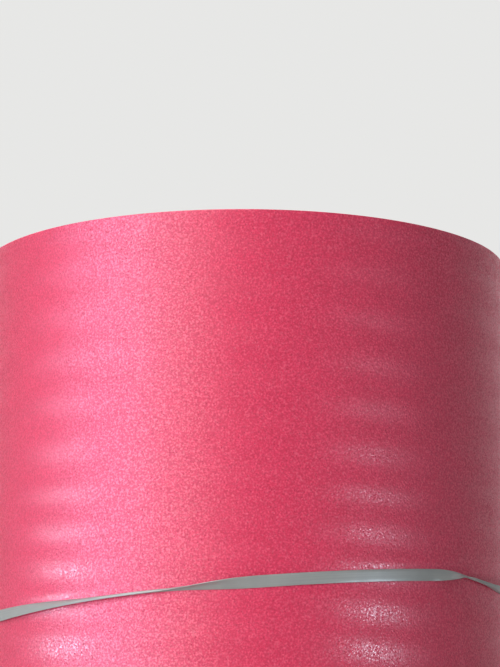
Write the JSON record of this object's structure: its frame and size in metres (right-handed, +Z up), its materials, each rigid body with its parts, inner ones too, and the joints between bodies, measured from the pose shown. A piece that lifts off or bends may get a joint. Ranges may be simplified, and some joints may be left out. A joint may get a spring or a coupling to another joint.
{
  "type": "foam insulation roll",
  "caption": "Wound roll of pink closed-cell foam sheet with waves across it, standing on its end, open bore, held by one narrow flat strap.",
  "frame": {"origin": "middle of the bore at the lower end, on the surface that the roll stands on", "axes": "+Z up the bore, -Y towards the front that the picture shows, +X to the right in the picture"},
  "size_m": [0.4451, 0.4444, 1],
  "materials": {
    "foam": "soft closed-cell polyethylene foam, satin with fine cells",
    "strap": "grey drawn plastic strap with fine lines along it, satin"
  },
  "bodies": {
    "root": {"foam_roll": "foam", "strap": "strap"}
  },
  "joints": []
}
